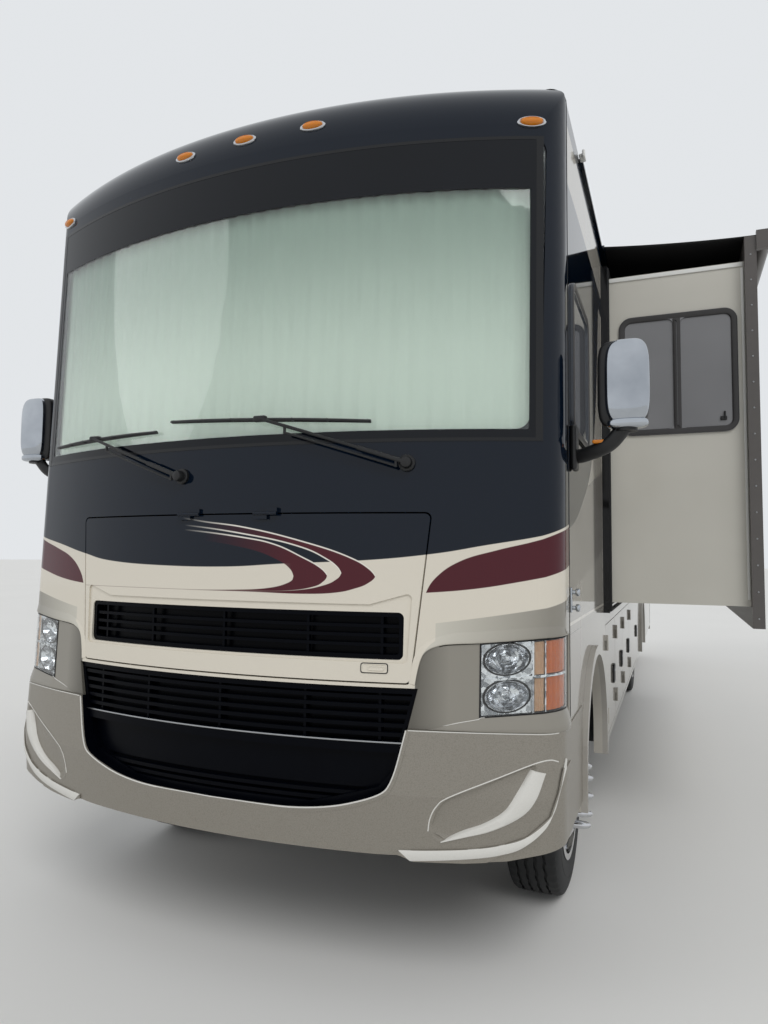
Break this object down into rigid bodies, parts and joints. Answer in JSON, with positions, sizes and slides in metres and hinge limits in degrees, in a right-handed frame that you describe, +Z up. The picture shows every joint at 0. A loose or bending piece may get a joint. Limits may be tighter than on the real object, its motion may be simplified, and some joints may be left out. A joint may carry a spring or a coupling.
{
  "type": "class A motorhome",
  "caption": "Motorhome with a bowed windshield, a slide-out room, hinged entry, bay and hood doors, steered front wheels and twin rear wheels.",
  "frame": {"origin": "middle of the whole part's box, on the ground", "axes": "+X to the driver's side, +Y to the rear, +Z up; the front faces -Y"},
  "size_m": [3.761, 10.8073, 3.89],
  "materials": {
    "painted_cap": "gloss two-tone paint",
    "painted_bumper": "gloss silver paint",
    "painted_hatch": "gloss paint",
    "painted_wall": "gloss paint",
    "painted_slide": "gloss paint",
    "windshield_glass": "clear",
    "tinted_glass": "dark tint",
    "shade_cloth": "pleated",
    "black_grille": "satin black",
    "lamp_lens": "clear lens over chrome",
    "amber_lens": "amber lens",
    "black_trim": "satin",
    "mirror_housing": "chromed cover",
    "bare_aluminium": "anodised",
    "roof_membrane": "matt",
    "white_plastic": "satin",
    "awning_case": "painted",
    "floor_board": "covered board",
    "bay_liner": "textured",
    "black_steel": "satin black",
    "cast_metal": "cast",
    "tank_plastic": "moulded",
    "exhaust_steel": "aluminised",
    "slide_frame": "satin dark grey",
    "topper_fabric": "coated",
    "tyre_rubber": "rubber",
    "chrome_wheel": "polished cover"
  },
  "bodies": {
    "house": {"chassis_frame": "black_steel", "driveshaft": "black_steel", "engine_block": "cast_metal", "entry_stairwell": "bay_liner", "exhaust_pipe": "exhaust_steel", "floor": "floor_board", "front_axle": "black_steel", "front_bumper": "painted_bumper", "front_cap": "painted_cap", "fuel_tank": "tank_plastic", "headlamps": "lamp_lens", "hitch_receiver": "black_steel", "ladder": "bare_aluminium", "lower_grille": "black_grille", "marker_lamps": "amber_lens", "mirrors": "mirror_housing", "patio_awning": "awning_case", "rear_axle": "black_steel", "rear_cap": "painted_cap", "roof": "roof_membrane", "roof_units": "white_plastic", "side_wall_left": "painted_wall", "side_wall_right": "painted_wall", "side_windows": "tinted_glass", "slide_topper": "topper_fabric", "storage_bays": "bay_liner", "windshield": "windshield_glass", "windshield_shade": "shade_cloth", "wipers": "black_trim"},
    "slide_out": {"slide_room": "painted_slide", "slide_windows": "tinted_glass", "slide_trim": "slide_frame"},
    "hatch": {"hood_hatch": "painted_hatch", "upper_grille": "black_grille"},
    "entry": {"entry_door": "painted_wall"},
    "steer_knuckle_left": {"knuckle_left": "black_steel"},
    "steer_knuckle_right": {"knuckle_right": "black_steel"},
    "steering_rod": {"tie_rod": "black_steel"},
    "wheel_front_left": {"tyre_front_left": "tyre_rubber", "rim_front_left": "chrome_wheel"},
    "wheel_front_right": {"tyre_front_right": "tyre_rubber", "rim_front_right": "chrome_wheel"},
    "wheel_rear_left": {"tyres_rear_left": "tyre_rubber", "rims_rear_left": "chrome_wheel"},
    "wheel_rear_right": {"tyres_rear_right": "tyre_rubber", "rims_rear_right": "chrome_wheel"},
    "bay_left_1": {"bay_door_left_1": "painted_wall"},
    "bay_left_2": {"bay_door_left_2": "painted_wall"},
    "bay_left_3": {"bay_door_left_3": "painted_wall"},
    "bay_left_4": {"bay_door_left_4": "painted_wall"},
    "bay_right_1": {"bay_door_right_1": "painted_wall"},
    "bay_right_2": {"bay_door_right_2": "painted_wall"}
  },
  "joints": [
    {"name": "steer_left", "type": "hinge", "parent": "house", "child": "steer_knuckle_left", "pos_m": [0.5705, -4.07729, 0.457], "axis": [0, 0, 1], "range_deg": [-40, 40]},
    {"name": "steer_right", "type": "hinge", "parent": "house", "child": "steer_knuckle_right", "pos_m": [-1.1655, -4.07729, 0.457], "axis": [0, 0, 1], "range_deg": [-40, 40]},
    {"name": "steering_rod_end", "type": "hinge", "parent": "steer_knuckle_left", "child": "steering_rod", "pos_m": [0.5705, -3.89229, 0.372], "axis": [0, 0, 1], "range_deg": [-40, 40]},
    {"name": "spin_front_left", "type": "hinge", "parent": "steer_knuckle_left", "child": "wheel_front_left", "pos_m": [0.7505, -4.07729, 0.457], "axis": [1, 0, 0], "continuous": true},
    {"name": "spin_front_right", "type": "hinge", "parent": "steer_knuckle_right", "child": "wheel_front_right", "pos_m": [-1.3455, -4.07729, 0.457], "axis": [1, 0, 0], "continuous": true},
    {"name": "spin_rear_left", "type": "hinge", "parent": "house", "child": "wheel_rear_left", "pos_m": [0.615, 1.71271, 0.457], "axis": [1, 0, 0], "continuous": true},
    {"name": "spin_rear_right", "type": "hinge", "parent": "house", "child": "wheel_rear_right", "pos_m": [-1.21, 1.71271, 0.457], "axis": [1, 0, 0], "continuous": true},
    {"name": "slide_room_travel", "type": "slide", "parent": "house", "child": "slide_out", "axis": [1, 0, 0], "range_m": [-0.7, 0], "deforming": ["slide_topper"]},
    {"name": "hatch_hinge", "type": "hinge", "parent": "house", "child": "hatch", "pos_m": [-0.2975, -5.35919, 1.766], "axis": [-1, 0, 0], "range_deg": [0, 70]},
    {"name": "entry_hinge", "type": "hinge", "parent": "house", "child": "entry", "pos_m": [-1.589, -3.35979, 1.6], "axis": [0, 0, 1], "range_deg": [0, 110]},
    {"name": "bay_left_1_hinge", "type": "hinge", "parent": "house", "child": "bay_left_1", "pos_m": [0.994, -3.37979, 0.9], "axis": [0, 0, -1], "range_deg": [0, 110]},
    {"name": "bay_left_2_hinge", "type": "hinge", "parent": "house", "child": "bay_left_2", "pos_m": [0.994, -2.65979, 0.9], "axis": [0, 0, -1], "range_deg": [0, 110]},
    {"name": "bay_left_3_hinge", "type": "hinge", "parent": "house", "child": "bay_left_3", "pos_m": [0.994, -1.89979, 0.9], "axis": [0, 0, -1], "range_deg": [0, 110]},
    {"name": "bay_left_4_hinge", "type": "hinge", "parent": "house", "child": "bay_left_4", "pos_m": [0.994, -1.01979, 0.9], "axis": [0, 0, -1], "range_deg": [0, 110]},
    {"name": "bay_right_1_hinge", "type": "hinge", "parent": "house", "child": "bay_right_1", "pos_m": [-1.589, -2.39979, 0.9], "axis": [0, 0, 1], "range_deg": [0, 110]},
    {"name": "bay_right_2_hinge", "type": "hinge", "parent": "house", "child": "bay_right_2", "pos_m": [-1.589, -1.01979, 0.9], "axis": [0, 0, 1], "range_deg": [0, 110]}
  ],
  "couplings": [
    {"joint": "steer_right", "follows": "steer_left", "ratio": 1},
    {"joint": "steering_rod_end", "follows": "steer_left", "ratio": -1}
  ]
}
